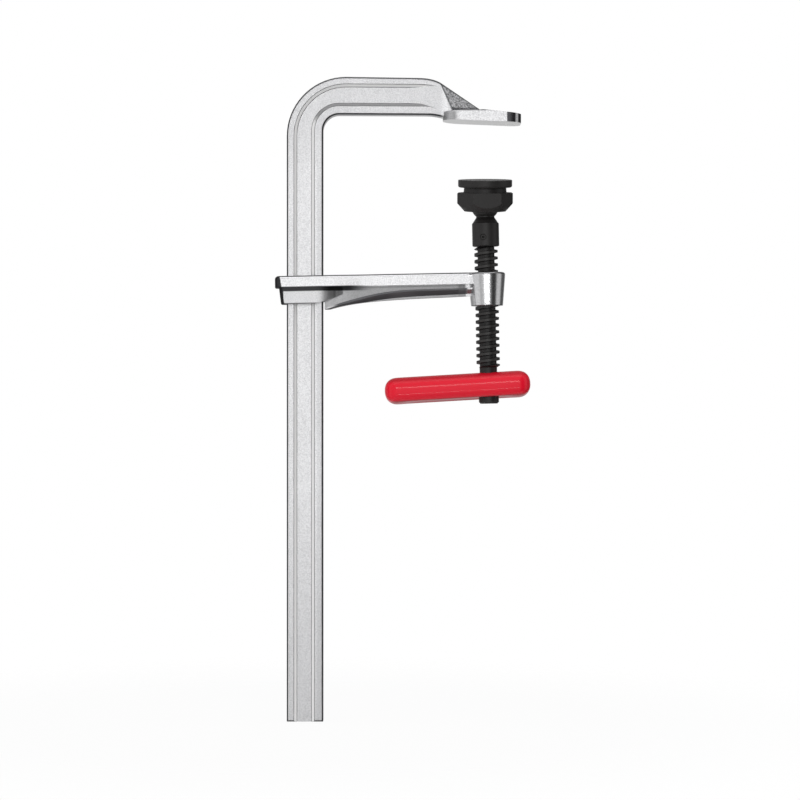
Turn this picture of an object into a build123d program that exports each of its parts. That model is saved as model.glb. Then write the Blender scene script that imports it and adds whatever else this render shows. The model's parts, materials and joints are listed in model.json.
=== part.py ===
from build123d import *
import os
from math import cos, radians, sin, tan

os.makedirs("parts", exist_ok=True)

# ---- driving dimensions, in millimetres ----
# clearances, each named once
RUNNING_FIT = 0.05       # radial, shaft in its hole
GUIDE_GAP = 0.30         # between faces of different bodies
PRESS_GAP = 0.02         # between pieces fixed to each other
PAST = 5.0               # how far a cut runs on beyond the face it starts at
AWAY = 60.0              # outside every section, for the far side of a trimming shape

# rail: a bar with a shallow channel along both sides, bent over at the top
RAIL_WIDTH = 27.0
RAIL_THICK = 13.0
RAIL_HEIGHT = 478.8
EDGE_ROUND = 1.5
BEND_OUTER = 44.0
BEND_INNER = 12.0
ARM_DEPTH = 28.0         # of the bar after the bend
BAR_DROOP = 0.3          # degrees the bar leans after the bend
CHANNEL_MOUTH = 16.7
CHANNEL_LIP = 0.35       # the steep step at the mouth, sideways
CHANNEL_LIP_DEPTH = 0.40
CHANNEL_SHELF = 1.90     # the gently sloped strip inside the step
CHANNEL_SHELF_DEPTH = 0.85
CHANNEL_DEPTH = 1.40
CHANNEL_FADE = 26.5      # where the channel begins to run out, before the jaw's start
CHANNEL_RUNOUT = 27.0    # the length over which it runs out
JAW_DROP = 3.9           # jaw's face below the bar's underside, at the jaw's start
JAW_DROOP = 2.4          # degrees the jaw's face leans toward the tip

# fixed jaw: the end of the bar forged flat, over the screw
JAW_BEHIND_AXIS = 32.45  # from the screw's axis back to the jaw's start
JAW_PAST_AXIS = 25.45    # and on to the jaw's tip
JAW_WIDTH = 32.0
JAW_CORNER = 9.0
JAW_ROOT_CORNER = 13.0
RIDGE_BEHIND_JAW = 5.0   # the web begins to come down before the jaw's start
RIDGE_LENGTH = 34.5
JAW_THICK_AT_RIDGE = 8.4
JAW_THICK_AT_TIP = 6.6

# sliding arm, seen square to itself; it hangs on the rail at a small angle
ARM_CANT = 1.15          # degrees
ARM_DROP = 147.75        # rail's top down to the arm's top line, over the rail's middle
HUB_WALL = 8.8           # behind the rail
HUB_CHEEK = 5.5          # on each side of the rail
HUB_DEPTH = 20.8
HUB_SLOT_GAP = 0.60      # round the rail, so the arm can cant and grip
TOP_FLANGE = 8.6
ARM_WIDTH = 18.0         # of the top flange near the boss
RIB_WIDTH = 8.0
LOW_FLANGE_WIDTH = 14.0
HEEL_DEPTH = 25.2
UNDERSIDE_AT_BOSS = 17.3
BOSS_TOP_WALL = 5.45     # outside the screw
BOSS_BOTTOM_WALL = 3.15
BOSS_HEIGHT = 25.0
THROAT_TO_AXIS = 134.95  # rail's middle to the screw's axis

# screw: right-hand trapezoidal thread
SCREW_DIAMETER = 17.5
THREAD_DEPTH = 2.45
PITCH = 5.0
CREST = 1.8
TOOTH_BASE = 2.9
THREAD_SHIFT = 0.7       # where the thread stands along the axis at rest
THREAD_START = 70.9      # its lower end below the arm's top line
SHANK_DIAMETER = 13.0
SHANK_IN_HANDLE = 2.0    # how far the shank enters the handle before the thicker end
END_DIAMETER = 14.9
END_DROP = 97.7          # the screw's lower end below the arm's top line
COLLAR_HEIGHT = 19.4     # the sleeve's underside over the arm's top line
JOURNAL_DIAMETER = 11.0
JOURNAL_LENGTH = 12.0
GROOVE_DIAMETER = 7.6

# sleeve with the ball
SLEEVE_DIAMETER = 20.0
SLEEVE_LENGTH = 17.3
NECK_DIAMETER = 13.6
NECK_CONE = 4.2
BALL_RADIUS = 10.5
BALL_HEIGHT = 30.3       # ball's centre over the sleeve's underside
PIN_DIAMETER = 4.6
PIN_HOLLOW = 1.9
PIN_PLAY = 0.35          # along the groove, above and below the pin
PIN_HEIGHT = 6.5
PIN_TURN = -102.5        # degrees round the sleeve

# pressure pad
PAD_TILT = 7.0           # degrees, leaning to the front
NUT_TURN = 3.5
NUT_ACROSS_FLATS = 36.0
NUT_BELOW = 4.7          # nut's underside below the ball's centre
NUT_WALL_START = 6.6
NUT_HEIGHT = 14.6
NUT_FOOT_RADIUS = 15.4
PAD_NECK_DIAMETER = 31.4
PAD_NECK_HEIGHT = 3.7
DISC_DIAMETER = 40.2
DISC_THICK = 5.65
PLUG_DEPTH = 6.0

# crank handle
HANDLE_LENGTH = 108.6
HANDLE_HEIGHT = 19.4
HANDLE_DEPTH = 26.0
HANDLE_SHORT_SIDE = 31.1
HANDLE_DROP = 84.25       # its middle below the arm's top line
HANDLE_LEAN = 2.2        # degrees, long end low
HANDLE_ROLL = -6.5       # degrees about its own length
GRIP_WALL = 3.0
GRIP_END_ROUND = 8.4
GRIP_EDGE_ROUND = 4.8
CROSS_PIN_DIAMETER = 4.0

# ---- sizes and places that follow from them ----
half_w = RAIL_WIDTH / 2
half_t = RAIL_THICK / 2
arm_top = RAIL_HEIGHT - ARM_DROP
jaw_start = THROAT_TO_AXIS - JAW_BEHIND_AXIS
jaw_tip = THROAT_TO_AXIS + JAW_PAST_AXIS
ridge_start = jaw_start - RIDGE_BEHIND_JAW
ridge_end = ridge_start + RIDGE_LENGTH
hub_left = -half_w - HUB_WALL
half_hub = half_t + HUB_CHEEK
screw_root = SCREW_DIAMETER - 2 * THREAD_DEPTH
boss_top_radius = SCREW_DIAMETER / 2 + BOSS_TOP_WALL
boss_bottom_radius = SCREW_DIAMETER / 2 + BOSS_BOTTOM_WALL

# ---- planes that the pieces are placed on ----
arm_x = Vector(cos(radians(ARM_CANT)), 0, sin(radians(ARM_CANT)))
arm_z = Vector(-sin(radians(ARM_CANT)), 0, cos(radians(ARM_CANT)))
arm_plan = Plane(origin=(0, 0, arm_top), x_dir=arm_x, z_dir=arm_z)
arm_side = Plane(origin=(0, 0, arm_top), x_dir=arm_x, z_dir=(0, -1, 0))
axis_foot = Vector(0, 0, arm_top) + arm_x * THROAT_TO_AXIS
screw_plan = Plane(origin=axis_foot, x_dir=arm_x, z_dir=arm_z)
screw_side = Plane(origin=axis_foot, x_dir=arm_x, z_dir=(0, -1, 0))
screw_axis = Axis(axis_foot, arm_z)
arm_axis = Axis((0, 0, arm_top), arm_z)


def pad_planes():
    """The pad's plan and side planes at the ball's centre, leaning to the front."""
    centre = axis_foot + arm_z * (COLLAR_HEIGHT + BALL_HEIGHT)
    up = Vector(0, 0, 1).rotate(Axis.X, PAD_TILT)
    turned = Vector(1, 0, 0).rotate(Axis((0, 0, 0), up), NUT_TURN)
    plan = Plane(origin=centre, x_dir=turned, z_dir=up)
    return plan, Plane(origin=centre, x_dir=plan.x_dir, z_dir=-plan.y_dir)


def handle_planes():
    """The handle's plan and side planes at the screw's axis."""
    centre = axis_foot - arm_z * HANDLE_DROP
    along = arm_x.rotate(Axis((0, 0, 0), (0, 1, 0)), -HANDLE_LEAN)
    up = arm_z.rotate(Axis((0, 0, 0), (0, 1, 0)), -HANDLE_LEAN)
    up = up.rotate(Axis((0, 0, 0), along), HANDLE_ROLL)
    plan = Plane(origin=centre, x_dir=along, z_dir=up)
    return plan, Plane(origin=centre, x_dir=along, z_dir=along.cross(up))


pad_plan, pad_side = pad_planes()
handle_plan, handle_side = handle_planes()

# ---- rail with its fixed jaw ----
droop = tan(radians(JAW_DROOP))
inner_x = half_w + BEND_INNER
under_at_bend = RAIL_HEIGHT - ARM_DEPTH
inner_z = under_at_bend - BEND_INNER
outer_x = -half_w + BEND_OUTER
outer_z = RAIL_HEIGHT - BEND_OUTER


def bar_under(x):
    """Height of the top bar's underside."""
    return under_at_bend - (x - inner_x) * tan(radians(BAR_DROOP))


def underside(x):
    """Height of the jaw's face, which droops toward the tip."""
    return bar_under(jaw_start) - JAW_DROP - (x - jaw_start) * droop


ridge_top = RAIL_HEIGHT - 2.6
ridge_foot = underside(ridge_end) + JAW_THICK_AT_RIDGE
diag = cos(radians(45))

with BuildPart() as bar:
    with BuildSketch(Plane.XZ):
        with BuildLine():
            Line((-half_w, 0), (half_w, 0))
            Line((half_w, 0), (half_w, inner_z))
            ThreePointArc(
                (half_w, inner_z),
                (inner_x - BEND_INNER * diag, inner_z + BEND_INNER * diag),
                (inner_x, under_at_bend),
            )
            Line((inner_x, under_at_bend), (jaw_start - 12, bar_under(jaw_start - 12)))
            Spline(
                (jaw_start - 12, bar_under(jaw_start - 12)),
                (jaw_start + 10, underside(jaw_start + 10) + 0.8),
                tangents=[(12, -0.06), (12, -1.2)],
            )
            Line((jaw_start + 10, underside(jaw_start + 10) + 0.8), (ridge_end, underside(ridge_end) + 1.5))
            Line((ridge_end, underside(ridge_end) + 1.5), (ridge_end, ridge_foot - 0.5))
            Line((ridge_end, ridge_foot - 0.5), (ridge_start + 3.5, ridge_top - 2.0))
            Spline(
                (ridge_start + 3.5, ridge_top - 2.0),
                (ridge_start - 2.5, ridge_top + 0.5),
                (ridge_start - 14, RAIL_HEIGHT - 0.8),
                tangents=[(-34, 21), (-1, 0.012)],
            )
            Line((ridge_start - 14, RAIL_HEIGHT - 0.8), (outer_x, RAIL_HEIGHT))
            ThreePointArc(
                (outer_x, RAIL_HEIGHT),
                (outer_x - BEND_OUTER * diag, outer_z + BEND_OUTER * diag),
                (-half_w, outer_z),
            )
            Line((-half_w, outer_z), (-half_w, 0))
        make_face()
    extrude(amount=half_t, both=True)
    fillet(bar.edges().group_by(Axis.Y)[0] + bar.edges().group_by(Axis.Y)[-1], EDGE_ROUND)


fade_start = jaw_start - CHANNEL_FADE
channel_end = fade_start + CHANNEL_RUNOUT


def channel_outline(inset):
    """Outline of one channel, each side moved in by inset, closed past the rail's free end."""
    mouth = CHANNEL_MOUTH / 2 - inset
    flange = half_w - mouth
    r_out = BEND_OUTER - flange
    r_in = BEND_INNER + flange + 1.0
    end = channel_end
    turn = channel_end - 15
    top = RAIL_HEIGHT - flange
    low = bar_under(inner_x) + flange + 1.0
    low_turn = bar_under(turn) + flange + 1.0
    start = -PAST
    Line((-mouth, start), (inner_x - r_in, start))
    Line((inner_x - r_in, start), (inner_x - r_in, inner_z))
    ThreePointArc(
        (inner_x - r_in, inner_z),
        (inner_x - r_in * diag, inner_z + r_in * diag),
        (inner_x, low),
    )
    Line((inner_x, low), (turn, low_turn))
    ThreePointArc((turn, low_turn), (turn + 8, low_turn - 1.1), (end, low_turn - 4.5))
    Line((end, low_turn - 4.5), (end, top - 2.5))
    Line((end, top - 2.5), (turn, top - 0.4))
    Line((turn, top - 0.4), (outer_x, top))
    ThreePointArc(
        (outer_x, top),
        (outer_x - r_out * diag, outer_z + r_out * diag),
        (-mouth, outer_z),
    )
    Line((-mouth, outer_z), (-mouth, start))


# inset and depth of each level, from outside the face to the floor
shelf_in = CHANNEL_LIP + CHANNEL_SHELF
floor_in = shelf_in + CHANNEL_LIP
levels = (
    (-CHANNEL_LIP, -CHANNEL_LIP_DEPTH),
    (CHANNEL_LIP, CHANNEL_LIP_DEPTH),
    (shelf_in, CHANNEL_SHELF_DEPTH),
    (floor_in, CHANNEL_DEPTH),
)
with BuildPart() as channel:
    for (inset_a, deep_a), (inset_b, deep_b) in zip(levels, levels[1:]):
        with BuildSketch(Plane.XZ.offset(half_t - deep_a)):
            with BuildLine():
                channel_outline(inset_a)
            make_face()
        with BuildSketch(Plane.XZ.offset(half_t - deep_b)):
            with BuildLine():
                channel_outline(inset_b)
            make_face()
        loft(ruled=True)
    # the floor rises until the channel has run out
    with BuildSketch(Plane.XY):
        with BuildLine():
            Polyline(
                (-AWAY, -half_t - 2),
                (channel_end + 20, -half_t - 2),
                (channel_end + 20, -half_t - 1),
                (channel_end - 4, -half_t),
                (fade_start, -half_t + CHANNEL_DEPTH + 0.1),
                (-AWAY, -half_t + CHANNEL_DEPTH + 0.1),
                close=True,
            )
        make_face()
    extrude(amount=RAIL_HEIGHT + AWAY, both=True, mode=Mode.INTERSECT)
    mirror(about=Plane.XZ)

# the flat-forged end, cut to a rounded plan
with BuildPart() as paddle:
    with BuildSketch(Plane.XZ):
        with BuildLine():
            Polyline(
                (jaw_start, underside(jaw_start)),
                (jaw_tip, underside(jaw_tip)),
                (jaw_tip, underside(jaw_tip) + JAW_THICK_AT_TIP),
                (ridge_end, ridge_foot),
                (jaw_start, underside(jaw_start) + JAW_THICK_AT_RIDGE - 2.0),
                close=True,
            )
        make_face()
    extrude(amount=JAW_WIDTH / 2, both=True)
    with BuildSketch(Plane.XY.offset(underside(jaw_tip) - PAST)) as jaw_plan:
        with Locations(((jaw_start + jaw_tip) / 2, 0)):
            Rectangle(jaw_tip - jaw_start, JAW_WIDTH)
        fillet(jaw_plan.vertices().group_by(Axis.X)[-1], JAW_CORNER)
        fillet(jaw_plan.vertices().group_by(Axis.X)[0], JAW_ROOT_CORNER)
    extrude(amount=30, mode=Mode.INTERSECT)
    fillet(paddle.edges().group_by(Axis.Z)[-1] + paddle.faces().sort_by(Axis.Z)[-1].edges(), 1.2)

# the web spreads into the paddle by a three-sided facet on each side
with BuildPart() as gusset:
    crease_top = (ridge_start + 4.0, ridge_top - 4.2)
    crease_low = (jaw_start + 8.0, underside(jaw_start) + 5.0)
    facet_tip = (ridge_end - 1, ridge_foot - 2.0)
    with BuildSketch(Plane.XZ.offset(half_t - 2.0)):
        with BuildLine():
            Polyline(crease_top, crease_low, facet_tip, close=True)
        make_face()
    with BuildSketch(Plane.XZ.offset(JAW_WIDTH / 2 - 2.0)):
        with BuildLine():
            x, z = crease_low
            Polyline((x - 0.2, z + 0.8), (x, z - 0.2), (x + 1.2, z - 0.1), close=True)
        make_face()
    loft(ruled=True)
    mirror(about=Plane.XZ)

with BuildPart() as rail:
    add(bar.part)
    add(gusset.part)
    add(paddle.part)
    add(channel.part, mode=Mode.SUBTRACT)
rail.part.label = "rail"
export_step(rail.part, "parts/rail.step")


# ---- the screw's thread ----
def thread_solid(length, low):
    """A right-hand thread about the screw's axis, from low upward."""
    outer = SCREW_DIAMETER / 2
    inner = screw_root / 2
    half_crest = CREST / 2 / PITCH * 360
    half_base = TOOTH_BASE / 2 / PITCH * 360
    steps = 5

    def at(radius, turn):
        return (radius * cos(radians(turn)), radius * sin(radians(turn)))

    rise = []
    for i in range(steps + 1):
        share = i / steps
        rise.append(at(outer + (inner - outer) * share, half_crest + (half_base - half_crest) * share))
    fall = []
    for x, y in reversed(rise):
        fall.append((x, -y))
    with BuildSketch(Plane.XY) as profile:
        with BuildLine():
            ThreePointArc(at(outer, -half_crest), at(outer, 0), at(outer, half_crest))
            Spline(*rise)
            ThreePointArc(at(inner, half_base), at(inner, 180), at(inner, -half_base))
            Spline(*fall)
        make_face()
    twisted = Solid.extrude_linear_with_rotation(
        profile.sketch.faces()[0], (0, 0, 0), (0, 0, length), 360 * length / PITCH
    )
    start = Rotation(0, 0, 360 * (low - THREAD_SHIFT) / PITCH)
    return screw_plan.location * Location((0, 0, low)) * start * twisted


thread_low = -THREAD_START
thread_high = COLLAR_HEIGHT - GUIDE_GAP

thread = thread_solid(thread_high - thread_low, thread_low)
groove_height = PIN_DIAMETER + 2 * PIN_PLAY

with BuildPart() as spindle:
    add(thread)
    with BuildSketch(screw_side):
        with BuildLine():
            reach = SCREW_DIAMETER / 2 + 1
            core = screw_root / 2 - 0.1
            Polyline((core, thread_high), (core + 0.2, thread_high - 0.1), (reach, thread_high - 2.2),
                     (reach, thread_high + 1), (core, thread_high + 1), close=True)
        make_face()
    revolve(axis=screw_axis, mode=Mode.SUBTRACT)
    with BuildSketch(screw_side):
        with BuildLine():
            Polyline((core, thread_low), (core + 0.2, thread_low + 0.1), (reach, thread_low + 2.0),
                     (reach, thread_low - 1), (core, thread_low - 1), close=True)
        make_face()
    revolve(axis=screw_axis, mode=Mode.SUBTRACT)
    # shank, plain end and journal, all turned on one axis
    shank_low = -(HANDLE_DROP - HANDLE_HEIGHT / 2 + SHANK_IN_HANDLE)
    end_low = -END_DROP
    journal_top = thread_high + JOURNAL_LENGTH
    groove_low = COLLAR_HEIGHT + PIN_HEIGHT - groove_height / 2
    with BuildSketch(screw_side):
        with BuildLine():
            Polyline(
                (0, end_low),
                (END_DIAMETER / 2 - 1.2, end_low),
                (END_DIAMETER / 2, end_low + 1.2),
                (END_DIAMETER / 2, shank_low),
                (SHANK_DIAMETER / 2, shank_low + 1.0),
                (SHANK_DIAMETER / 2, thread_low),
                (screw_root / 2 - 0.3, thread_low + 1.0),
                (screw_root / 2 - 0.3, thread_high - 0.5),
                (screw_root / 2, thread_high),
                (JOURNAL_DIAMETER / 2, thread_high),
                (JOURNAL_DIAMETER / 2, groove_low),
                (GROOVE_DIAMETER / 2, groove_low),
                (GROOVE_DIAMETER / 2, groove_low + groove_height),
                (JOURNAL_DIAMETER / 2, groove_low + groove_height),
                (JOURNAL_DIAMETER / 2, journal_top - 0.8),
                (JOURNAL_DIAMETER / 2 - 0.8, journal_top),
                (0, journal_top),
                close=True,
            )
        make_face()
    revolve(axis=screw_axis)
    # cross hole for the handle's pin
    with BuildSketch(handle_side):
        Circle(CROSS_PIN_DIAMETER / 2 + PRESS_GAP)
    extrude(amount=END_DIAMETER, both=True, mode=Mode.SUBTRACT)
spindle.part.label = "spindle"
export_step(spindle.part, "parts/spindle.step")

# ---- sliding arm ----
heel = half_w + 4.5            # the heel's right end
rib_end = THROAT_TO_AXIS - 9   # inside the boss, where the rib stops
under_line = (
    (heel, -HEEL_DEPTH),
    (heel + 12.7, -22.4),
    (heel + 39.5, -19.6),
    (heel + 75, -18.2),
    (rib_end, -UNDERSIDE_AT_BOSS),
)
crease_line = (
    (heel - 4, -HEEL_DEPTH + 0.6),
    (heel + 8.6, -20.6),
    (heel + 24.3, -16.6),
    (heel + 39.9, -13.6),
    (heel + 63.7, -11.9),
    (rib_end, -11.2),
)

with BuildPart() as arm_body:
    # top flange: a plan that narrows from the hub to the boss
    with BuildSketch(arm_plan.offset(-TOP_FLANGE)):
        with BuildLine():
            near = ARM_WIDTH / 2 + 1.0
            far = ARM_WIDTH / 2
            Polyline((hub_left, -half_hub), (heel + 4, -half_hub), (heel + 24, -near), (THROAT_TO_AXIS, -far),
                     (THROAT_TO_AXIS, far), (heel + 24, near), (heel + 4, half_hub), (hub_left, half_hub),
                     close=True)
        make_face()
    extrude(amount=TOP_FLANGE)
    fillet(arm_body.edges().filter_by(arm_axis).group_by(Axis.X)[0], 4.6)
    fillet(arm_body.faces().sort_by(arm_axis)[-1].edges().sort_by(Axis.X)[:-1], 2.6)

with BuildPart() as arm_rib:
    with BuildSketch(arm_side):
        with BuildLine():
            Polyline((-8, -3), (-8, -HUB_DEPTH), (heel - 10, -HUB_DEPTH), (heel - 5, -HEEL_DEPTH),
                     under_line[0])
            Spline(*under_line)
            Polyline(under_line[-1], (rib_end, -3), (-8, -3))
        make_face()
    extrude(amount=RIB_WIDTH / 2, both=True)

# lower flange: a bevel from its widest line down to a narrower underside
with BuildPart() as low_flange:
    with BuildSketch(arm_side.offset(LOW_FLANGE_WIDTH / 2)):
        with BuildLine():
            Spline(*crease_line)
            Line(crease_line[-1], (rib_end, -12.4))
            Spline((rib_end, -12.4), (heel + 63.7, -13.1), (heel + 39.9, -15.0), (heel + 24.3, -18.2),
                   (heel + 8.6, -22.0), (heel - 2, -HEEL_DEPTH + 0.3))
            Line((heel - 2, -HEEL_DEPTH + 0.3), crease_line[0])
        make_face()
    with BuildSketch(arm_side):
        with BuildLine():
            Spline(*crease_line)
            Line(crease_line[-1], (rib_end, -UNDERSIDE_AT_BOSS - 2.4))
            Spline((rib_end, -UNDERSIDE_AT_BOSS - 2.4), (heel + 75, -21.6), (heel + 39.5, -23.6),
                   (heel + 22, -24.9), (heel + 12.7, -26.4), (heel, -HEEL_DEPTH - 3))
            Line((heel, -HEEL_DEPTH - 3), crease_line[0])
        make_face()
    loft(ruled=True)
    mirror(about=Plane.XZ)

with BuildPart() as hub:
    with BuildSketch(arm_side):
        with BuildLine():
            Polyline((hub_left + 2.7, -TOP_FLANGE + 2), (hub_left + 4.3, -HUB_DEPTH),
                     (heel - 10.5, -HUB_DEPTH), (heel - 5.5, -19.6), (heel + 10.5, -14.0),
                     (heel + 10.5, -TOP_FLANGE + 2), close=True)
        make_face()
    extrude(amount=half_hub - 1.2, both=True)
    with BuildSketch(arm_plan.offset(-HUB_DEPTH - 2)):
        with BuildLine():
            lip = half_hub - 1.2
            rib = RIB_WIDTH / 2 - 0.3
            front = hub_left + 6.3
            back = hub_left + 2.3
            turn = heel - 11
            point = heel + 11
            Spline((turn, -lip), (heel - 3, -lip + 1.1), (heel + 4, -lip + 4.0), (point, -rib),
                   tangents=[(1, 0), (1, 0.25)])
            Line((point, -rib), (point, rib))
            Spline((point, rib), (heel + 4, lip - 4.0), (heel - 3, lip - 1.1), (turn, lip),
                   tangents=[(-1, 0.25), (-1, 0)])
            Polyline((turn, lip), (front, lip), (back, lip - 4.5), (back, -lip + 4.5), (front, -lip),
                     (turn, -lip))
        make_face()
    extrude(amount=HUB_DEPTH, mode=Mode.INTERSECT)

with BuildPart() as boss:
    with BuildSketch(screw_side):
        with BuildLine():
            Polyline((0, 0), (boss_top_radius, 0), (boss_bottom_radius, -BOSS_HEIGHT), (0, -BOSS_HEIGHT),
                     close=True)
        make_face()
    revolve(axis=screw_axis)
    fillet(boss.edges().filter_by(GeomType.CIRCLE).sort_by(screw_axis)[-1], 1.9)
    fillet(boss.edges().filter_by(GeomType.CIRCLE).sort_by(screw_axis)[0], 0.8)
    # the hole for the screw, with a countersink at each end
    for level, way in ((0, 1), (-BOSS_HEIGHT, -1)):
        with BuildSketch(screw_side):
            with BuildLine():
                mouth = SCREW_DIAMETER / 2 + 0.9
                Polyline((0, level + way), (mouth + 1, level + way), (mouth - 2.4, level - 2.4 * way),
                         (0, level - 2.4 * way), close=True)
            make_face()
        revolve(axis=screw_axis, mode=Mode.SUBTRACT)
    with BuildSketch(screw_plan.offset(-BOSS_HEIGHT - PAST)):
        Circle(SCREW_DIAMETER / 2 + GUIDE_GAP)
    extrude(amount=BOSS_HEIGHT + 2 * PAST, mode=Mode.SUBTRACT)

with BuildPart() as sliding_arm:
    add(arm_body.part)
    add(arm_rib.part)
    add(low_flange.part)
    # the lower flange ends on the arm's own underside
    with BuildSketch(arm_side):
        with BuildLine():
            Polyline((-AWAY, -AWAY), (-AWAY, -HUB_DEPTH), (heel - 10, -HUB_DEPTH), (heel - 5, -HEEL_DEPTH),
                     under_line[0])
            Spline(*under_line)
            Polyline(under_line[-1], (THROAT_TO_AXIS + AWAY, -UNDERSIDE_AT_BOSS),
                     (THROAT_TO_AXIS + AWAY, -AWAY), (-AWAY, -AWAY))
        make_face()
    extrude(amount=2 * half_hub, both=True, mode=Mode.SUBTRACT)
    add(hub.part)
    # room for the boss
    with BuildSketch(screw_plan.offset(-BOSS_HEIGHT - PAST)):
        Circle(SCREW_DIAMETER / 2 + 1.5)
    extrude(amount=BOSS_HEIGHT + 2 * PAST, mode=Mode.SUBTRACT)
    add(boss.part)
    # slot for the rail
    with BuildSketch(arm_plan.offset(-AWAY)):
        RectangleRounded(RAIL_WIDTH + 2 * HUB_SLOT_GAP, RAIL_THICK + 2 * HUB_SLOT_GAP, EDGE_ROUND)
    extrude(amount=2 * AWAY, mode=Mode.SUBTRACT)
sliding_arm.part.label = "sliding_arm"
export_step(sliding_arm.part, "parts/sliding_arm.step")

# ---- sleeve with the ball, held on the journal by a pin ----
sleeve_low = COLLAR_HEIGHT
sleeve_high = sleeve_low + SLEEVE_LENGTH
ball_mid = sleeve_low + BALL_HEIGHT
pin_plane = Plane(
    origin=axis_foot + arm_z * (sleeve_low + PIN_HEIGHT),
    x_dir=arm_z,
    z_dir=arm_x.rotate(Axis((0, 0, 0), arm_z), PIN_TURN),
)

with BuildPart() as ball_sleeve:
    with BuildSketch(screw_side):
        with BuildLine():
            wide = SLEEVE_DIAMETER / 2
            slim = NECK_DIAMETER / 2
            Polyline((0, sleeve_low), (wide - 0.6, sleeve_low), (wide, sleeve_low + 0.6),
                     (wide, sleeve_high - 0.4), (wide - 0.4, sleeve_high), (slim, sleeve_high + NECK_CONE),
                     (slim, ball_mid), (0, ball_mid), close=True)
        make_face()
    revolve(axis=screw_axis)
    with Locations(screw_plan.location * Location((0, 0, ball_mid))):
        Sphere(BALL_RADIUS)
    with BuildSketch(screw_plan.offset(sleeve_low)):
        Circle(JOURNAL_DIAMETER / 2 + RUNNING_FIT)
    extrude(amount=journal_top - sleeve_low + GUIDE_GAP, mode=Mode.SUBTRACT)
    with BuildSketch(pin_plane):
        Circle(PIN_DIAMETER / 2 + PRESS_GAP)
    extrude(amount=SLEEVE_DIAMETER, mode=Mode.SUBTRACT)
ball_sleeve.part.label = "ball_sleeve"
export_step(ball_sleeve.part, "parts/ball_sleeve.step")

with BuildPart() as sleeve_pin:
    pin_in = GROOVE_DIAMETER / 2 + GUIDE_GAP
    pin_out = SLEEVE_DIAMETER / 2 - 0.35
    with BuildSketch(pin_plane.offset(pin_in)):
        Circle(PIN_DIAMETER / 2)
    extrude(amount=pin_out - pin_in)
    chamfer(sleeve_pin.faces().sort_by(Axis(pin_plane.origin, pin_plane.z_dir))[-1].edges(), 0.35)
    with BuildSketch(pin_plane.offset(pin_out)):
        Circle(PIN_HOLLOW / 2)
    extrude(amount=-2.5, mode=Mode.SUBTRACT)
sleeve_pin.part.label = "sleeve_pin"
export_step(sleeve_pin.part, "parts/sleeve_pin.step")

# ---- pressure pad ----
pad_axis = Axis(pad_plan.origin, pad_plan.z_dir)
seat_radius = BALL_RADIUS + GUIDE_GAP
nut_top = -NUT_BELOW + NUT_HEIGHT
neck_top = nut_top + PAD_NECK_HEIGHT
corner = NUT_ACROSS_FLATS / 2 / cos(radians(30))

with BuildPart() as pad_nut:
    with BuildSketch(pad_plan.offset(-NUT_BELOW)):
        RegularPolygon(corner, 6)
    extrude(amount=NUT_HEIGHT)
    # the chamfers under and over the flats
    with BuildSketch(pad_side):
        with BuildLine():
            Polyline((0, -NUT_BELOW - 0.01), (9.0, -NUT_BELOW - 0.01), (NUT_FOOT_RADIUS, -NUT_BELOW + 0.6),
                     (corner + 0.4, -NUT_BELOW + NUT_WALL_START + 0.4), (corner + 0.4, nut_top - 1.0),
                     (corner - 1.0, nut_top), (0, nut_top), close=True)
        make_face()
    revolve(axis=pad_axis, mode=Mode.INTERSECT)
    with BuildSketch(pad_side):
        with BuildLine():
            rim = PAD_NECK_DIAMETER / 2
            Polyline((0, nut_top - 1), (rim + 0.3, nut_top - 1), (rim + 0.3, nut_top), (rim, neck_top),
                     (0, neck_top), close=True)
        make_face()
    revolve(axis=pad_axis)
    with Locations(pad_plan.location):
        Sphere(seat_radius, mode=Mode.SUBTRACT)
    with BuildSketch(pad_plan):
        Circle(seat_radius)
    extrude(amount=neck_top + 1, mode=Mode.SUBTRACT)
pad_nut.part.label = "pad_nut"
export_step(pad_nut.part, "parts/pad_nut.step")

with BuildPart() as pad_disc:
    with BuildSketch(pad_plan.offset(neck_top + PRESS_GAP)):
        Circle(DISC_DIAMETER / 2)
    extrude(amount=DISC_THICK)
    rims = pad_disc.edges().filter_by(GeomType.CIRCLE).sort_by(pad_axis)
    fillet(rims[0], 1.5)
    fillet(rims[-1], 0.5)
    with BuildSketch(pad_plan.offset(neck_top + 1)):
        Circle(seat_radius - PRESS_GAP)
    extrude(amount=-PLUG_DEPTH)
    with Locations(pad_plan.location):
        Sphere(seat_radius, mode=Mode.SUBTRACT)
pad_disc.part.label = "pad_disc"
export_step(pad_disc.part, "parts/pad_disc.step")

# ---- crank handle ----
mid_along = HANDLE_SHORT_SIDE - HANDLE_LENGTH / 2
half_len = HANDLE_LENGTH / 2


def lozenge(inset):
    """The handle's outer form, moved in by inset: a rounded bar with full ends.

    It is made flat at the origin and then put on the screw, so it is the same at any lean.
    """
    long = half_len - inset
    tall = HANDLE_HEIGHT / 2 - inset
    deep = HANDLE_DEPTH / 2 - inset
    corner_r = min(GRIP_END_ROUND, tall * 0.88)
    with BuildPart() as body:
        with BuildSketch(Plane.XZ):
            with Locations((mid_along, 0)):
                RectangleRounded(2 * long, 2 * tall, corner_r)
        extrude(amount=deep, both=True)
        with BuildSketch(Plane.XY.offset(-HANDLE_HEIGHT)):
            with Locations((mid_along, 0)):
                RectangleRounded(2 * long, 2 * deep, deep * 0.8)
        extrude(amount=2 * HANDLE_HEIGHT, mode=Mode.INTERSECT)
        fillet(body.edges(), min(GRIP_EDGE_ROUND, tall / 2))
    return handle_plan.location * body.part


grip_form = lozenge(0)
grip_hollow = lozenge(GRIP_WALL)
core_form = lozenge(GRIP_WALL + PRESS_GAP)

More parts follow.
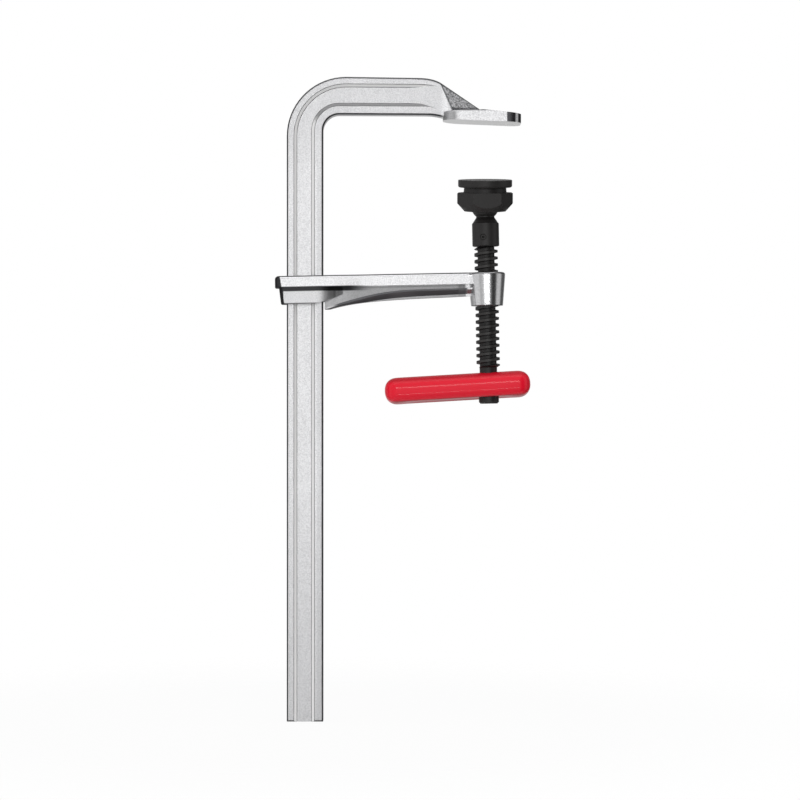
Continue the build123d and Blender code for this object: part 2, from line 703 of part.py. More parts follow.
with BuildPart() as handle_core:
    add(core_form)
    with BuildSketch(screw_plan.offset(-HANDLE_DROP - HANDLE_HEIGHT)):
        Circle(END_DIAMETER / 2 + PRESS_GAP)
    extrude(amount=2 * HANDLE_HEIGHT, mode=Mode.SUBTRACT)
    with BuildSketch(handle_side):
        Circle(CROSS_PIN_DIAMETER / 2 + PRESS_GAP)
    extrude(amount=HANDLE_DEPTH, both=True, mode=Mode.SUBTRACT)
handle_core.part.label = "handle_core"
export_step(handle_core.part, "parts/handle_core.step")

with BuildPart() as handle_grip:
    add(grip_form)
    # a long shallow dish along the underside
    with BuildSketch(handle_plan.offset(-HANDLE_HEIGHT / 2)):
        with Locations((mid_along + 1, 0)):
            SlotOverall(HANDLE_LENGTH * 0.66, HANDLE_DEPTH * 0.5)
    extrude(amount=0.8, mode=Mode.SUBTRACT)
    add(grip_hollow, mode=Mode.SUBTRACT)
    with BuildSketch(screw_plan.offset(-HANDLE_DROP - HANDLE_HEIGHT)):
        Circle(END_DIAMETER / 2 + RUNNING_FIT)
    extrude(amount=2 * HANDLE_HEIGHT, mode=Mode.SUBTRACT)
handle_grip.part.label = "handle_grip"
export_step(handle_grip.part, "parts/handle_grip.step")

with BuildPart() as handle_pin:
    with BuildSketch(handle_side):
        Circle(CROSS_PIN_DIAMETER / 2)
    extrude(amount=HANDLE_DEPTH / 2 - GRIP_WALL - 0.5, both=True)
    chamfer(handle_pin.edges().filter_by(GeomType.CIRCLE), 0.4)
handle_pin.part.label = "handle_pin"
export_step(handle_pin.part, "parts/handle_pin.step")
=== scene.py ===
# %% [markdown]
# # An all-steel F clamp
# The clamp is a grooved steel rail bent over into a fixed jaw, an arm that slides on it,
# and a screw with a swivelling pad and a red crank handle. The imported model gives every
# piece its place, so this lesson only adds finer shapes, finishes, light and a camera.

import json
import math

import bmesh
import bpy
from mathutils import Matrix, Vector

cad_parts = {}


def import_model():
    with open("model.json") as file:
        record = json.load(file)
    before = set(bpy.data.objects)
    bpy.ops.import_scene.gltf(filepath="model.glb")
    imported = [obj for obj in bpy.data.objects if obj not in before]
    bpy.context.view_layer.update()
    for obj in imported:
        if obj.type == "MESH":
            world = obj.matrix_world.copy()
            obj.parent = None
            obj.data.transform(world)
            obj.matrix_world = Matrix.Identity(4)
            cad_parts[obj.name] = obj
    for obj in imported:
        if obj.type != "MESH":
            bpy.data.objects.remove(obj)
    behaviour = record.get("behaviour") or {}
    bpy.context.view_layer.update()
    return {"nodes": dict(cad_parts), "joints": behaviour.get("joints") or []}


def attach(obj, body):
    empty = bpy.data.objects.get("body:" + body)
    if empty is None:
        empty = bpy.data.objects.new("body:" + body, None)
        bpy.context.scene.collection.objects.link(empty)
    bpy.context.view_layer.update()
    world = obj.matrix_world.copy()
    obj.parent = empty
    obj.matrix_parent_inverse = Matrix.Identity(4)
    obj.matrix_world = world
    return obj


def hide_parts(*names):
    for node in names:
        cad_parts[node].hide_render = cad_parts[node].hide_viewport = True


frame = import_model()
nodes = frame["nodes"]
print("nodes:", sorted(nodes))

# %% [markdown]
# ## Shader sums in Python
# A finish is mostly arithmetic on masks: how far a point is from an edge, how strong the
# grain is there. Math nodes can be wired by hand, or a small class can turn Python's own
# operators into those nodes. The class is easier to read, so it is used here.

# %% A socket that can be added and multiplied
class Wire:
    """An output socket of a shader tree; arithmetic on it adds Math nodes."""

    def __init__(self, tree, socket=None):
        self.tree = tree
        self.socket = socket

    def node(self, kind, settings=None, inputs=None, output=0):
        """Adds one node: its settings first, then the values or links of its sockets."""
        made = self.tree.nodes.new(kind)
        for name, value in (settings or {}).items():
            if name == "stops":
                ramp = made.color_ramp
                while len(ramp.elements) < len(value):
                    ramp.elements.new(0.5)
                for stop, (place, colour) in zip(ramp.elements, value):
                    stop.position = place
                    stop.color = colour
            else:
                setattr(made, name, value)
        for name, value in (inputs or {}).items():
            if isinstance(value, Wire):
                self.tree.links.new(value.socket, made.inputs[name])
            else:
                made.inputs[name].default_value = value
        return Wire(self.tree, made.outputs[output])

    def maths(self, operation, *values):
        return self.node("ShaderNodeMath", {"operation": operation}, dict(enumerate(values)))

    def __add__(self, other):
        return self.maths("ADD", self, other)

    def __sub__(self, other):
        return self.maths("SUBTRACT", self, other)

    def __rsub__(self, other):
        return self.maths("SUBTRACT", other, self)

    def __mul__(self, other):
        return self.maths("MULTIPLY", self, other)

    def __truediv__(self, other):
        return self.maths("DIVIDE", self, other)

    def __rtruediv__(self, other):
        return self.maths("DIVIDE", other, self)

    def __pow__(self, other):
        return self.maths("POWER", self, other)

    def __rpow__(self, other):
        return self.maths("POWER", other, self)

    def __neg__(self):
        return self.maths("MULTIPLY", self, -1.0)

    __radd__ = __add__
    __rmul__ = __mul__

    def size(self):
        return self.maths("ABSOLUTE", self)

    def angle(self, other):
        """The angle whose tangent is self over other, in radians."""
        return self.maths("ARCTAN2", self, other)

    def between(self, low, high):
        """0 below low, 1 above high, and a smooth step between them."""
        span = {"Value": self, "From Min": low, "From Max": high}
        return self.node("ShaderNodeMapRange", {"interpolation_type": "SMOOTHSTEP"}, span)

    def band(self, low, high, soft):
        """1 between low and high, falling to 0 over soft on each side."""
        return self.between(low - soft, low) * (1 - self.between(high, high + soft))


print("Wire adds:", ", ".join(["+", "-", "*", "/", "**"]))

# %% [markdown]
# ## Helpers for finishes
# Every finish starts the same way: a Principled shader, the object's own coordinates, and
# noise at a real size. The noise could follow a piece's unwrapped surface, but packed
# pieces aren't unwrapped. Object coordinates need no unwrapping and stay with a piece when
# it moves, so the grain doesn't swim over the steel as the arm slides.

# %% Noise and colours
def grey(level, blue):
    """A grey colour, with its own amount of blue."""
    return (level, level, blue, 1)


def noise(start, place, per_metre, detail=2.0, rough=0.5, stretch=(1, 1, 1)):
    """Noise whose grains are 1 / per_metre wide."""
    scaled = start.node("ShaderNodeVectorMath", {"operation": "MULTIPLY"}, {0: place, 1: stretch})
    return start.node("ShaderNodeTexNoise", {"noise_dimensions": "3D"},
                      {"Vector": scaled, "Scale": per_metre, "Detail": detail, "Roughness": rough})


def mixed(start, share, dark, light):
    """A colour between two others."""
    inputs = {0: share, 6: dark, 7: light}
    return start.node("ShaderNodeMix", {"data_type": "RGBA"}, inputs, output=2)


def layered(start, colour, *coats):
    """A first colour with others laid over it, each as strongly as its mask says."""
    for share, coat in coats:
        colour = mixed(start, share, colour, coat)
    return colour


print("helpers: grey, noise, mixed, layered")

# %% Starting and wiring a finish
def finish(name, metallic, **uniform):
    """A new material, with its uniform numbers set on the shader itself."""
    material = bpy.data.materials.new(name)
    material.use_nodes = True
    shader = material.node_tree.nodes["Principled BSDF"]
    shader.inputs["Metallic"].default_value = metallic
    for socket, value in uniform.items():
        shader.inputs[socket.replace("_", " ")].default_value = value
    start = Wire(material.node_tree)
    place = start.node("ShaderNodeTexCoord", output="Object")
    return material, shader, start, place


def feed(start, shader, height=None, strength=0.35, distance=0.00015, **sockets):
    """Wires what changes over the surface, with the bump on the normal."""
    for name, wire in sockets.items():
        start.tree.links.new(wire.socket, shader.inputs[name.replace("_", " ")])
    if height is not None:
        settings = {"Strength": strength, "Distance": distance, "Height": height}
        bump = start.node("ShaderNodeBump", None, settings)
        start.tree.links.new(bump.socket, shader.inputs["Normal"])


def axes(start, place):
    """The three coordinates of a place, each a Wire."""
    split = start.node("ShaderNodeSeparateXYZ", None, {0: place})
    return [Wire(start.tree, socket) for socket in split.socket.node.outputs]


def facing(start):
    """How far the surface faces along each of the piece's own axes, from -1 to 1."""
    return axes(start, start.node("ShaderNodeTexCoord", output="Normal"))


print("helpers: finish, feed, axes, facing")

# %% [markdown]
# ## Satin steel
# The rail is drawn bar with a fine blasted and plated skin: pale, nearly colourless, and
# dull enough that it glows rather than mirrors. It could be a brushed finish, but real
# ones show no direction in the grain. Fine grains go on the bump and the colour, slow
# clouds on the roughness. Painted shade darkens the steel where it turns a corner, along
# every rounded edge and both lips of the channel, and along the crease and seams by the
# jaw, in place of the dark those rounded faces mirror; that is what draws the bar. The
# channel's sloping walls and the jaw's underside are painted lighter, a painted highlight.
# Past the crease by the jaw the forging is rougher and darker, so it has a skin of its own.

# %% The colours and places of the rail
PALE = grey(0.80, 0.81)
PALE_DARK = grey(0.52, 0.53)
SHADED = grey(0.36, 0.37)
# painted highlight: the colour the channel's walls and the jaw's underside are lightened to
PAINTED_LIGHT_STEEL = grey(0.97, 0.97)
# painted shade and painted dark reflection along edges, lips, creases and seams
PAINTED_SHADE = grey(0.055, 0.06)
FORGED_DARK = grey(0.12, 0.125)
FORGED_LIGHT = grey(0.52, 0.53)

# all in metres, as soft steps that begin and end at the two numbers
FOOT_FADE = (0.01, 0.26)             # height over which the rail's foot grows paler
BAR_STEP = (0.405, 0.445)            # height where the upright turns into the bar
BEND_STEP = (0.40, 0.43)
INNER_LIP_STEP = (0.405, 0.435)
RIGHT_BAND_STEP = (0.0085, 0.0095)   # across, the narrow face right of the channel
JAW_STEP = (0.1000, 0.1040)          # across, where the forged jaw begins
TIP_STEP = (0.1470, 0.1485)          # across, where its tip begins to round
PADDLE_TOP_STEP = (0.4526, 0.4534)
OVER_PADDLE_STEP = (0.4528, 0.4536)
PINCH_STEP = (0.4545, 0.4562)        # height of the painted shadow line along the seam above the paddle
FIRST_STRIPE = (0.1500, 0.1556)      # across, the wide dark stripe of the tip
LAST_STRIPE_STEP = (0.1578, 0.1582)
STRIPE_SOFT = 0.0006
CREASE_ACROSS = 0.1015               # the crease passes here ...
CREASE_HEIGHT = 0.472                # ... at this height
CREASE_SLANT = 0.45                  # and moves this far across for each metre down
RIDGE_SLANT = 0.6586                 # the ridge falls this far for each metre across
RIDGE_STEP = (0.5390, 0.5397)
print("rail's bar starts at", BAR_STEP[0], "and its jaw at", JAW_STEP[0])

# %% The satin steel of the rail
def grainy(start, place, dark, light):
    """Speckled steel between two greys, and the grain that makes it."""
    fine = noise(start, place, 2600, 3.0, 0.6)
    coarse = noise(start, place, 1100, 2.0, 0.7)
    return mixed(start, (fine * 0.5 + coarse * 0.5).between(0.34, 0.62), dark, light), fine


def satin_steel():
    material, shader, start, place = finish("satin_steel", 1.0)
    across, _, up = axes(start, place)
    _, front, top = facing(start)
    clouds = noise(start, place, 38, 3.0)
    jaw = across.between(*JAW_STEP)
    tip = across.between(*TIP_STEP)
    # painted shade along rounded edges and lips, with soft painted dark stripes in their place
    # round the paddle's tip
    root = jaw * (1 - up.between(*PADDLE_TOP_STEP)) * (1 - tip)
    edges = front.size().band(0.10, 0.94, 0.03)
    shade_stripes = across.band(*FIRST_STRIPE, STRIPE_SOFT) + across.between(*LAST_STRIPE_STEP)
    paddle_side = front.size().between(0.05, 0.15) * (1 - (-top).between(0.3, 0.5))
    edge_shade = edges * (1 - tip) * (1 - root * 0.75) + shade_stripes * paddle_side
    # the jaw's underside, painted lighter as a painted highlight
    sole = jaw * (-top).between(0.2, 0.5)
    # the channel's sloping walls, painted lighter as a painted highlight, with painted shade on the
    # inside of the bend
    slope = front.size().band(0.10, 0.985, 0.004) * (1 - edges) * (1 - jaw)
    bend_shade = slope * top.between(0.05, 0.15) * up.between(*INNER_LIP_STEP)
    # the crease where the web spreads into the jaw, and the forged skin beyond it; the crease, the
    # seam over the paddle and the ridge get painted shade
    past_crease = across - CREASE_ACROSS - (CREASE_HEIGHT - up) * CREASE_SLANT
    over_paddle = up.between(*OVER_PADDLE_STEP)
    forged = past_crease.between(-0.0004, 0.0004) * over_paddle
    crease = past_crease.band(-0.0002, 0.0003, 0.0004) * over_paddle
    pinch = forged * (1 - up.between(*PINCH_STEP))
    ridge = forged * (up + across * RIDGE_SLANT).between(*RIDGE_STEP)
    skin = noise(start, place, 800, 3.0, 0.6).between(0.36, 0.64)
    rough_steel = mixed(start, skin, FORGED_DARK, FORGED_LIGHT)
    # the foot, the bar and the right band are a little darker than the rest
    foot = 1 - up.between(*FOOT_FADE)
    bar = up.between(*BAR_STEP) * (1 - jaw)
    right_band = across.between(*RIGHT_BAND_STEP) * (1 - up.between(*BEND_STEP))
    colour, grain = grainy(start, place, PALE_DARK, PALE)
    colour = layered(
        start, colour,
        (foot * 0.30, SHADED),
        (bar * 0.30 + right_band * 0.24, SHADED),
        # painted highlight on the channel's walls and the jaw's underside; painted shade in the
        # bend, along the edges, and along the crease, seam and ridge
        (slope * (1 - bend_shade * 0.6) + sole * 0.9, PAINTED_LIGHT_STEEL),
        (bend_shade * 0.5, PAINTED_SHADE),
        (edge_shade * (1 - forged) * 0.97, PAINTED_SHADE),
        (forged * 0.92, rough_steel),
        (crease * 0.75 + pinch * 0.80 + ridge * 0.85, PAINTED_SHADE),
    )
    rough = 0.31 + clouds * 0.10 + slope * 0.30 + forged * 0.15
    feed(start, shader, grain, Base_Color=colour, Roughness=rough)
    return material


satin = satin_steel()
print("finish:", satin.name)

# %% [markdown]
# ## Forged and ground steel
# The sliding arm is a forging. Its flanks keep a grainy forged skin, while its top flange
# and the boss are ground bright. Each part could have a material of its own, but the
# packed arm is one mesh that isn't to be cut. So one material covers it all, with masks
# from the place on the arm: along it from the screw, and its height over the top line.
# The screw's joint in the imported model gives that place and the arm's small slant.
# The recessed web, the downward bevel, the groove under the flange, the edges and the hub's left
# end are darkened with painted shade; the web's grey is part forged skin and part painted shade.

# %% Where a point is on the arm
screw = next(joint for joint in frame["joints"] if joint["name"] == "spindle_turn")
BOSS_FOOT = Vector(screw["pos_m"])
CANT = -math.asin(screw["axis"][0])


def arm_place(start, place):
    """Along the arm from the screw's axis, height over its top line, distance from the axis."""
    turned = start.node("ShaderNodeVectorRotate", {"rotation_type": "Y_AXIS"},
                        {"Vector": place, "Center": BOSS_FOOT, "Angle": CANT})
    across, deep, up = axes(start, turned)
    along = across - BOSS_FOOT.x
    return along, up - BOSS_FOOT.z, (along * along + deep * deep) ** 0.5


print("the arm slants by", round(math.degrees(CANT), 2), "degrees")

# %% The colours and places of the arm
ARM_DARK = grey(0.60, 0.61)
ARM_LIGHT = grey(0.86, 0.87)
# part forged skin, part painted shade in the web's recess
WEB_SKIN_AND_SHADE = grey(0.22, 0.225)
# painted shade on the downward bevel
BEVEL_SHADE = grey(0.11, 0.115)
HUB_GREY = grey(0.42, 0.43)
# painted shadow in the groove and painted black shade on the hub's left end
PAINTED_DEEP_SHADE = grey(0.02, 0.022)

# all in metres, as soft steps that begin and end at the two numbers
BOSS_STEP = (0.0150, 0.0172)         # from the screw's axis, where the boss ends
FLANGE_STEP = (-0.0092, -0.0084)     # height, the lower edge of the top flange
WEB_DEPTH_STEP = (0.0052, 0.0066)    # from the middle, half the web's thickness
RIM_DEPTH_STEP = (0.0062, 0.0068)
RIM_END_STEP = (0.0072, 0.0078)
RIM_ALONG_STEP = (-0.118, -0.110)
HUB_STEP = (-0.110, -0.096)          # along the arm, where the hub ends
GROOVE = (-0.0112, -0.0084)          # height of the painted shadow in the groove under the flange
GROOVE_SOFT = 0.0007
GROOVE_END_STEP = (-0.104, -0.082)
BEVEL_STEP = (-0.105, -0.060)        # along, where the lower bevel begins
SOLE = (-0.0214, -0.0203)            # height of the hub's lower edge
SOLE_SOFT = 0.0003
SOLE_END_STEP = (-0.128, -0.123)
END_SHADE_STEP = (-0.1538, -0.1532)        # along, where the painted black shade on the hub's left end stops
END_SHADE_SLANT = 0.153                    # its edge follows the hub's slanting end
JOINT = (0.0165, 0.0215)             # from the screw's axis, the fillet by the boss
JOINT_SOFT = 0.0010
print("the arm's boss ends at", BOSS_STEP[0], "from the screw's axis")

# %% The arm's steel
def arm_steel():
    material, shader, start, place = finish("arm_steel", 1.0)
    _, deep, _ = axes(start, place)
    _, front, top = facing(start)
    along, over, from_axis = arm_place(start, place)
    clouds = noise(start, place, 45, 3.0)
    boss = 1 - from_axis.between(*BOSS_STEP)
    body = 1 - boss
    below = (1 - over.between(*FLANGE_STEP)) * body
    web = below * (1 - deep.size().between(*WEB_DEPTH_STEP))
    # the hub: its face, the painted shadow in the groove above it, painted shade along its rim and
    # lower edge, and painted black shade on its end
    hub = 1 - along.between(*HUB_STEP)
    groove = over.band(*GROOVE, GROOVE_SOFT) * (1 - along.between(*GROOVE_END_STEP)) * body
    rim = below * deep.size().between(*RIM_DEPTH_STEP) * along.between(*RIM_ALONG_STEP)
    rim = rim * (1 - deep.size().between(*RIM_END_STEP)) * front.size().between(0.8, 0.95)
    face = hub * below * (1 - web) * (1 - groove)
    sole = over.band(*SOLE, SOLE_SOFT) * (1 - along.between(*SOLE_END_STEP)) * body
    end_shade = 1 - (along + over * END_SHADE_SLANT).between(*END_SHADE_STEP)
    # painted shade along the edges and on the bevel along the underside, and the fillet by the boss
    edge_shade = front.size().band(0.10, 0.78, 0.05) * body
    lip = boss * top.size().band(0.25, 0.92, 0.05)
    under = (-top).between(0.25, 0.60) * body
    joint = from_axis.band(*JOINT, JOINT_SOFT) * below
    bevel = under * along.between(*BEVEL_STEP) * (1 - joint)
    colour, grain = grainy(start, place, ARM_DARK, ARM_LIGHT)
    colour = layered(
        start, colour,
        # painted shade: the web's recess (over its forged grey), the bevel, the groove, the rim,
        # the lower edge, the edges, the boss's lip and the hub's end
        (web * (1 - hub * 0.2) * 0.62, WEB_SKIN_AND_SHADE),
        (bevel * 0.90, BEVEL_SHADE),
        (face * 0.42, HUB_GREY),
        (groove * 0.97, PAINTED_DEEP_SHADE),
        (rim * 0.92, PAINTED_SHADE),
        (sole * 0.85, PAINTED_SHADE),
        (edge_shade * 0.90, PAINTED_SHADE),
        (lip * 0.75, PAINTED_SHADE),
        (end_shade * 0.95, PAINTED_DEEP_SHADE),
    )
    rough = 0.30 + clouds * 0.10 + web * 0.12 + under * 0.22 - boss * 0.14
    # the bevel and the fillet are scaled, so they mirror less of what is near them
    metal = 1 - bevel * 0.85 - joint * 0.80
    feed(start, shader, grain * (1 - boss * 0.85),
         Base_Color=colour, Roughness=rough, Metallic=metal)
    return material


arm = arm_steel()
print("finish:", arm.name)

# %% [markdown]
# ## Black oxide
# The screw, sleeve and pad are blacked: a thin oxide on the steel. It could be a very dark
# metal, but that turns black wherever nothing bright is mirrored. Real oxide scatters a
# little light, so it is a dielectric skin here, dark grey where light catches it. The
# thread's crests are rubbed a little brighter by the nut.

# %% The blacked steel
OXIDE_DARK = (0.009, 0.0080, 0.0078, 1)
OXIDE_LIGHT = (0.020, 0.018, 0.0175, 1)
OXIDE_RUBBED = (0.045, 0.043, 0.041, 1)
CREST_STEP = (0.00845, 0.0088)       # from the screw's axis, the thread's crest in metres
PAST_CREST_STEP = (0.0089, 0.0091)


def black_oxide():
    material, shader, start, place = finish("black_oxide", 0.0, Specular_IOR_Level=0.50)
    _, _, from_axis = arm_place(start, place)
    grain = noise(start, place, 1500, 3.0, 0.6)
    clouds = noise(start, place, 90, 3.0)
    crest = from_axis.between(*CREST_STEP) * (1 - from_axis.between(*PAST_CREST_STEP))
    colour = mixed(start, clouds, OXIDE_DARK, OXIDE_LIGHT)
    colour = mixed(start, crest * 0.5, colour, OXIDE_RUBBED)
    feed(start, shader, grain, Base_Color=colour, Roughness=0.40 + clouds * 0.14 - crest * 0.08)
    return material


black = black_oxide()
print("finish:", black.name)

# %% [markdown]
# ## Red vinyl
# The handle was dipped in liquid vinyl. The skin is glossy and a little wavy where it
# drained, and its clear coat is thinner and duller along the top. The top and the underside
# are painted a darker red as painted shade. It could be one glossy layer, but that gives
# only sharp highlights. A clear coat over a softer base gives both a sharp highlight and
# a soft one.

# %% The dipped vinyl
RED_DEEP = (0.98, 0.003, 0.026, 1)
RED_BRIGHT = (1.00, 0.006, 0.036, 1)
# painted shade: darker reds for the top and the underside
RED_TOP_SHADE = (0.38, 0.002, 0.010, 1)
RED_UNDER_SHADE = (0.34, 0.002, 0.010, 1)


def red_vinyl():
    material, shader, start, place = finish(
        "red_vinyl", 0.0, Specular_IOR_Level=0.20, Coat_Roughness=0.10)
    waves = noise(start, place, 60, 2.0, 0.4, (0.3, 1, 1))
    pores = noise(start, place, 900, 2.0)
    _, _, top = facing(start)
    colour = layered(
        start, mixed(start, waves, RED_DEEP, RED_BRIGHT),
        # painted shade on the top and the underside
        (top.between(0.20, 0.85) * 0.70, RED_TOP_SHADE),
        ((-top).between(0.80, 0.98) * 0.75, RED_UNDER_SHADE),
    )
    coat = (0.26 + waves * 0.24) * (1 - top.between(0.25, 0.60) * 0.85)
    feed(start, shader, waves + pores * 0.06, 0.12, 0.0005,
         Base_Color=colour, Roughness=0.38 + pores * 0.08, Coat_Weight=coat)
    return material


vinyl = red_vinyl()
print("finish:", vinyl.name)

# %% [markdown]
# ## The dipped handle
# The handle is a steel bar dipped in vinyl, which runs thick over the corners: a fat
# rounded bar with full ends and a flatter underside. It could be a rounded box, but then
# the highlights break at the edges of its flat sides. Rings of points that follow a
# superellipse give one skin without a flat anywhere, and a subdivision surface smooths it.

# %% The handle's section and rings
HANDLE_LENGTH = 0.1086
HANDLE_HEIGHT = 0.0194
HANDLE_DEPTH = 0.026
HANDLE_SHORT_SIDE = 0.0311   # from the screw's axis to the nearer end
HANDLE_DROP = 0.08425        # from the boss's foot down the screw
HANDLE_LEAN = math.radians(2.2)
HANDLE_ROLL = math.radians(-6.5)
END_ROUND = 0.0098           # length of each rounded end
TOP_FULLNESS = 2 / 2.5       # 1 is an ellipse, and less is squarer
UNDER_FULLNESS = 2 / 3.8
END_FULLNESS = 2 / 2.3
RINGS_IN_END = 9
RINGS_BETWEEN = 20
POINTS_ROUND = 48
half_handle = HANDLE_LENGTH / 2


def power(value, exponent):
    """value to a power, with its sign kept."""
    return math.copysign(abs(value) ** exponent, value)


def section(turn):
    """A point of the full section, from -1 to 1 each way, flatter along its underside."""
    across, up = math.cos(turn), math.sin(turn)
    fullness = TOP_FULLNESS if up > 0 else UNDER_FULLNESS
    return power(across, fullness), power(up, fullness)


def stations():
    """(place along the handle, share of the full section) of each ring."""
    ends = []
    for i in range(1, RINGS_IN_END + 1):
        turn = math.radians(90) * i / RINGS_IN_END
        inward = END_ROUND * (1 - math.cos(turn) ** END_FULLNESS)
        ends.append((half_handle - inward, math.sin(turn) ** END_FULLNESS))
    straight = half_handle - END_ROUND
    left = [(-place, share) for place, share in ends]
    middle = [(straight * (2 * i / RINGS_BETWEEN - 1), 1.0) for i in range(1, RINGS_BETWEEN)]
    return left + middle + ends[::-1]


print("handle rings:", len(stations()), "of", POINTS_ROUND, "points")

# %% The handle's skin
DISH_DEPTH = 0.0012          # of the hollow along the underside
DISH_WIDTH = 0.62            # share of the handle's depth
DISH_FROM_END = 0.013
UNDERSIDE = -0.9             # of the section's height, where the hollow begins


def dish(across, up, place):
    """How far the underside is hollowed at a point."""
    if up >= UNDERSIDE:
        return 0
    over_width = max(0, 1 - (across / DISH_WIDTH) ** 4)
    over_length = max(0, 1 - (place / (half_handle - DISH_FROM_END)) ** 8)
    return DISH_DEPTH * over_width * over_length


def skin_mesh(shift):
    """Rings joined by quads and closed by a fan at each end."""
    shape = bmesh.new()
    rings = []
    for place, share in stations():
        ring = []
        for i in range(POINTS_ROUND):
            across, up = section(2 * math.pi * i / POINTS_ROUND)
            height = up * share * HANDLE_HEIGHT / 2 + dish(across, up, place)
            point = (place + shift, across * share * HANDLE_DEPTH / 2, height)
            ring.append(shape.verts.new(point))
        rings.append(ring)
    for one, next_one in zip(rings, rings[1:]):
        for i in range(POINTS_ROUND):
            j = (i + 1) % POINTS_ROUND
            shape.faces.new((one[i], one[j], next_one[j], next_one[i]))
    for ring, side in ((rings[0], -1), (rings[-1], 1)):
        tip = shape.verts.new((side * half_handle + shift, 0, 0))
        for i in range(POINTS_ROUND):
            shape.faces.new((ring[i], ring[(i + 1) % POINTS_ROUND], tip))
    bmesh.ops.recalc_face_normals(shape, faces=shape.faces)
    for face in shape.faces:
        face.smooth = True
    mesh = bpy.data.meshes.new("handle_skin")
    shape.to_mesh(mesh)
    shape.free()
    return mesh


def handle_skin():
    mesh = skin_mesh(HANDLE_SHORT_SIDE - half_handle)
    mesh.materials.append(vinyl)
    made = bpy.data.objects.new("handle_skin", mesh)
    bpy.context.collection.objects.link(made)
    arm_up = Vector((-math.sin(CANT), 0, math.cos(CANT)))
    made.matrix_world = (Matrix.Translation(BOSS_FOOT - arm_up * HANDLE_DROP)
                         @ Matrix.Rotation(-CANT - HANDLE_LEAN, 4, "Y")
                         @ Matrix.Rotation(HANDLE_ROLL, 4, "X"))
    smooth = made.modifiers.new("smooth", "SUBSURF")
    smooth.levels = 1
    smooth.render_levels = 1
    return made


skin = handle_skin()
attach(skin, "spindle")
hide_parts("handle_grip")
print("handle skin:", len(skin.data.vertices), "points")

# %% [markdown]
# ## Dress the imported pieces
# The other nine pieces are bare steel, plated or blacked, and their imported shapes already
# have every edge and thread. They could be rebuilt as meshes, but nothing would be gained,
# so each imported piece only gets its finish.

# %% Give each node its finish
DRESS = {
    "rail": satin, "sliding_arm": arm, "spindle": black, "ball_sleeve": black, "sleeve_pin": black,
    "pad_nut": black, "pad_disc": black, "handle_core": satin, "handle_pin": satin,
}
for node, material in DRESS.items():
    slots = nodes[node].data.materials
    for i in range(len(slots)):
        slots[i] = material
print("dressed:", len(DRESS))

# %% [markdown]
# ## Floor
# The clamp stands on its rail's end, on a pale bench. A floor that ran to the horizon
# would draw a line across behind the rail, so this one is a small disc that thins out into
# the white of the studio. Only a faint shadow of the foot is left on it.

# %% A pale floor that fades out
FLOOR_RADIUS = 0.6
FLOOR_BELOW = 0.0005         # under the rail's end, so that the two don't flicker
FADE_STEP = (0.20, 0.50)     # from the middle, where the floor thins out
FLOOR_DARK = grey(0.80, 0.80)
FLOOR_LIGHT = grey(0.84, 0.84)
WHITE = grey(1, 1)
WHITE_SHARE = 0.94           # how much plain white covers the shadow


def floor():
    shape = bmesh.new()
    bmesh.ops.create_circle(shape, cap_ends=True, segments=96, radius=FLOOR_RADIUS)
    mesh = bpy.data.meshes.new("floor")
    shape.to_mesh(mesh)
    shape.free()
    made = bpy.data.objects.new("floor", mesh)
    made.location = (0, 0, -FLOOR_BELOW)
    bpy.context.collection.objects.link(made)
    material, shader, start, place = finish("floor_white", 0.0, Roughness=0.8)
    across, deep, _ = axes(start, place)
    soft = noise(start, place, 3, 2.0)
    feed(start, shader, Base_Color=mixed(start, soft, FLOOR_DARK, FLOOR_LIGHT))
    seen = start.node("ShaderNodeLightPath", output="Is Camera Ray")
    lit = Wire(start.tree, shader.outputs[0])
    white = start.node("ShaderNodeEmission", None, {"Color": WHITE, "Strength": 1.0})
    pale = start.node("ShaderNodeMixShader", None, {0: seen * WHITE_SHARE, 1: lit, 2: white})
    clear = start.node("ShaderNodeBsdfTransparent")
    fade = ((across * across + deep * deep) ** 0.5).between(*FADE_STEP)
    whole = start.node("ShaderNodeMixShader", None, {0: fade, 1: pale, 2: clear})
    end = start.tree.nodes["Material Output"]
    start.tree.links.new(whole.socket, end.inputs["Surface"])
    mesh.materials.append(material)
    return made


bench = floor()
print("floor:", bench.name, "radius", FLOOR_RADIUS)

# %% [markdown]
# ## Light
# Polished and plated steel shows mostly what is around it. It could be lit by lamps alone,
# but then it is black between them. So the world is a ring of white cards with gaps: a
# wide dark one to the right of the front, which draws the stripe on the round boss, one
# behind on the right, and weaker ones on the left and behind on the left. It is given to
# light and reflections, and the camera sees plain white.

# %% The world
# degrees round the clamp from straight in front, toward +X, and the light from there
ROUND_LIGHT = (
    (-180, 0.85), (-155, 0.70), (-140, 0.30), (-112, 0.55), (-94, 0.95), (-52, 0.92), (-43, 0.52),
    (-35, 0.72), (-8, 0.80), (16, 0.92), (24, 0.26), (36, 0.02), (60, 0.06), (70, 0.80), (98, 0.75),
    (108, 0.10), (148, 0.15), (158, 0.75), (180, 0.85),
)
LIGHT_OVERHEAD = grey(0.80, 0.80)
OVERHEAD_STEP = (0.55, 0.9)  # how steeply up, from 0 to 1
BELOW_STEP = (0.15, 0.85)    # how steeply down
LIGHT_BELOW = 0.40           # share left of it straight down
WORLD_STRENGTH = 0.80


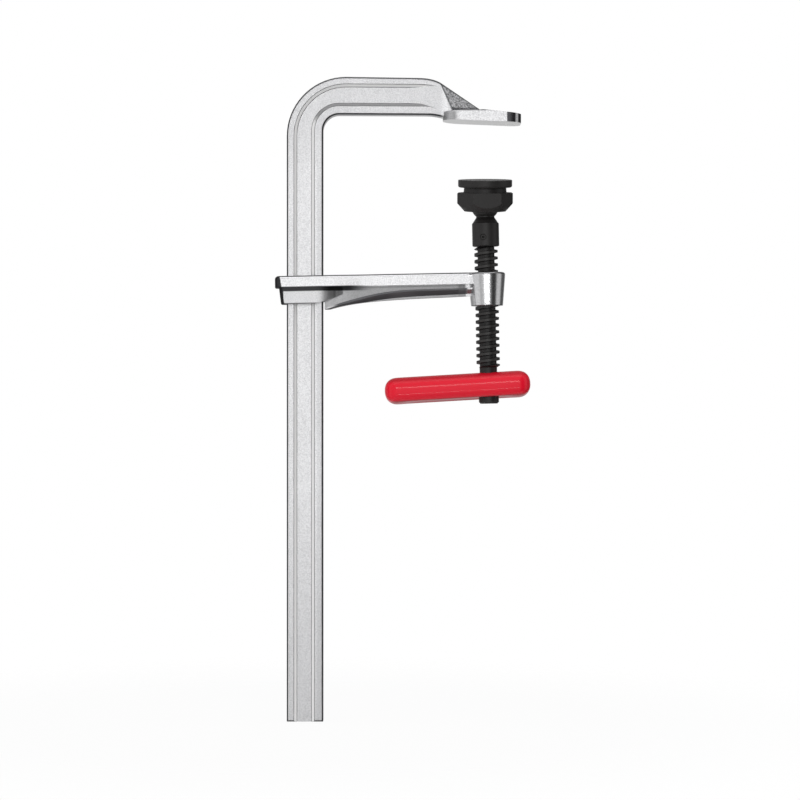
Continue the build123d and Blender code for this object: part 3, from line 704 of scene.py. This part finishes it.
def world():
    made = bpy.data.worlds.new("studio")
    bpy.context.scene.world = made
    made.use_nodes = True
    tree = made.node_tree
    start = Wire(tree)
    way = start.node("ShaderNodeTexCoord", output="Generated")
    across, ahead, up = axes(start, way)
    share = across.angle(-ahead) / (2 * math.pi) + 0.5
    stops = [((degrees + 180) / 360, grey(light, light)) for degrees, light in ROUND_LIGHT]
    level = start.node("ShaderNodeValToRGB", {"stops": stops}, {0: share})
    fall = 1 - (-up).between(*BELOW_STEP) * (1 - LIGHT_BELOW)
    cards = mixed(start, up.between(*OVERHEAD_STEP), level, LIGHT_OVERHEAD)
    cards = mixed(start, fall, grey(0, 0), cards)
    seen = start.node("ShaderNodeLightPath", output="Is Camera Ray")
    lit = start.node("ShaderNodeBackground", None, {"Color": cards, "Strength": WORLD_STRENGTH})
    plain = start.node("ShaderNodeBackground", None, {"Color": WHITE, "Strength": 1.0})
    both = start.node("ShaderNodeMixShader", None, {0: seen, 1: lit, 2: plain})
    tree.links.new(both.socket, tree.nodes["World Output"].inputs["Surface"])
    return made


print("world:", world().name, "with", len(ROUND_LIGHT), "stops of light")

# %% The softboxes
AIM = (0.1, 0, 0.25)         # the middle of the clamp


def softbox(name, place, size, watts):
    """A rectangular lamp that faces the middle of the clamp."""
    data = bpy.data.lights.new(name, "AREA")
    data.shape = "RECTANGLE"
    data.size, data.size_y = size
    data.energy = watts
    lamp = bpy.data.objects.new(name, data)
    lamp.location = place
    lamp.rotation_euler = (Vector(AIM) - Vector(place)).to_track_quat("-Z", "Y").to_euler()
    bpy.context.collection.objects.link(lamp)
    print("softbox:", name, watts, "W")


softbox("top_box", (0.1, -0.5, 2.0), (2.2, 1.2), 12)
softbox("upper_strip", (0.1, -2.1, 0.90), (1.3, 0.10), 3.2)
softbox("lower_strip", (0.1, -2.1, 0.10), (1.3, 0.08), 2.4)

# %% [markdown]
# ## Camera
# A near camera would make the rail's edges lean, and one without perspective would hide
# the jaw's underside. A long lens, level with the middle of the clamp and square to its
# flat side, keeps the edges upright and still looks natural.

# %% The camera
CAMERA_AWAY = 1.9
VIEW_MIDDLE = (0.0706, 0.2388)   # across and up
VIEW_WIDTH = 0.59576             # of what the camera sees at the clamp
SENSOR_WIDTH = 36.0              # in millimetres, as the lens is


def camera():
    data = bpy.data.cameras.new("camera")
    data.sensor_width = SENSOR_WIDTH
    data.lens = SENSOR_WIDTH * CAMERA_AWAY / VIEW_WIDTH
    made = bpy.data.objects.new("camera", data)
    made.location = (VIEW_MIDDLE[0], -CAMERA_AWAY, VIEW_MIDDLE[1])
    made.rotation_euler = (math.radians(90), 0, 0)
    bpy.context.collection.objects.link(made)
    bpy.context.scene.camera = made
    bpy.context.scene.view_settings.view_transform = "Standard"
    return data


print("camera: lens of", round(camera().lens), "mm")
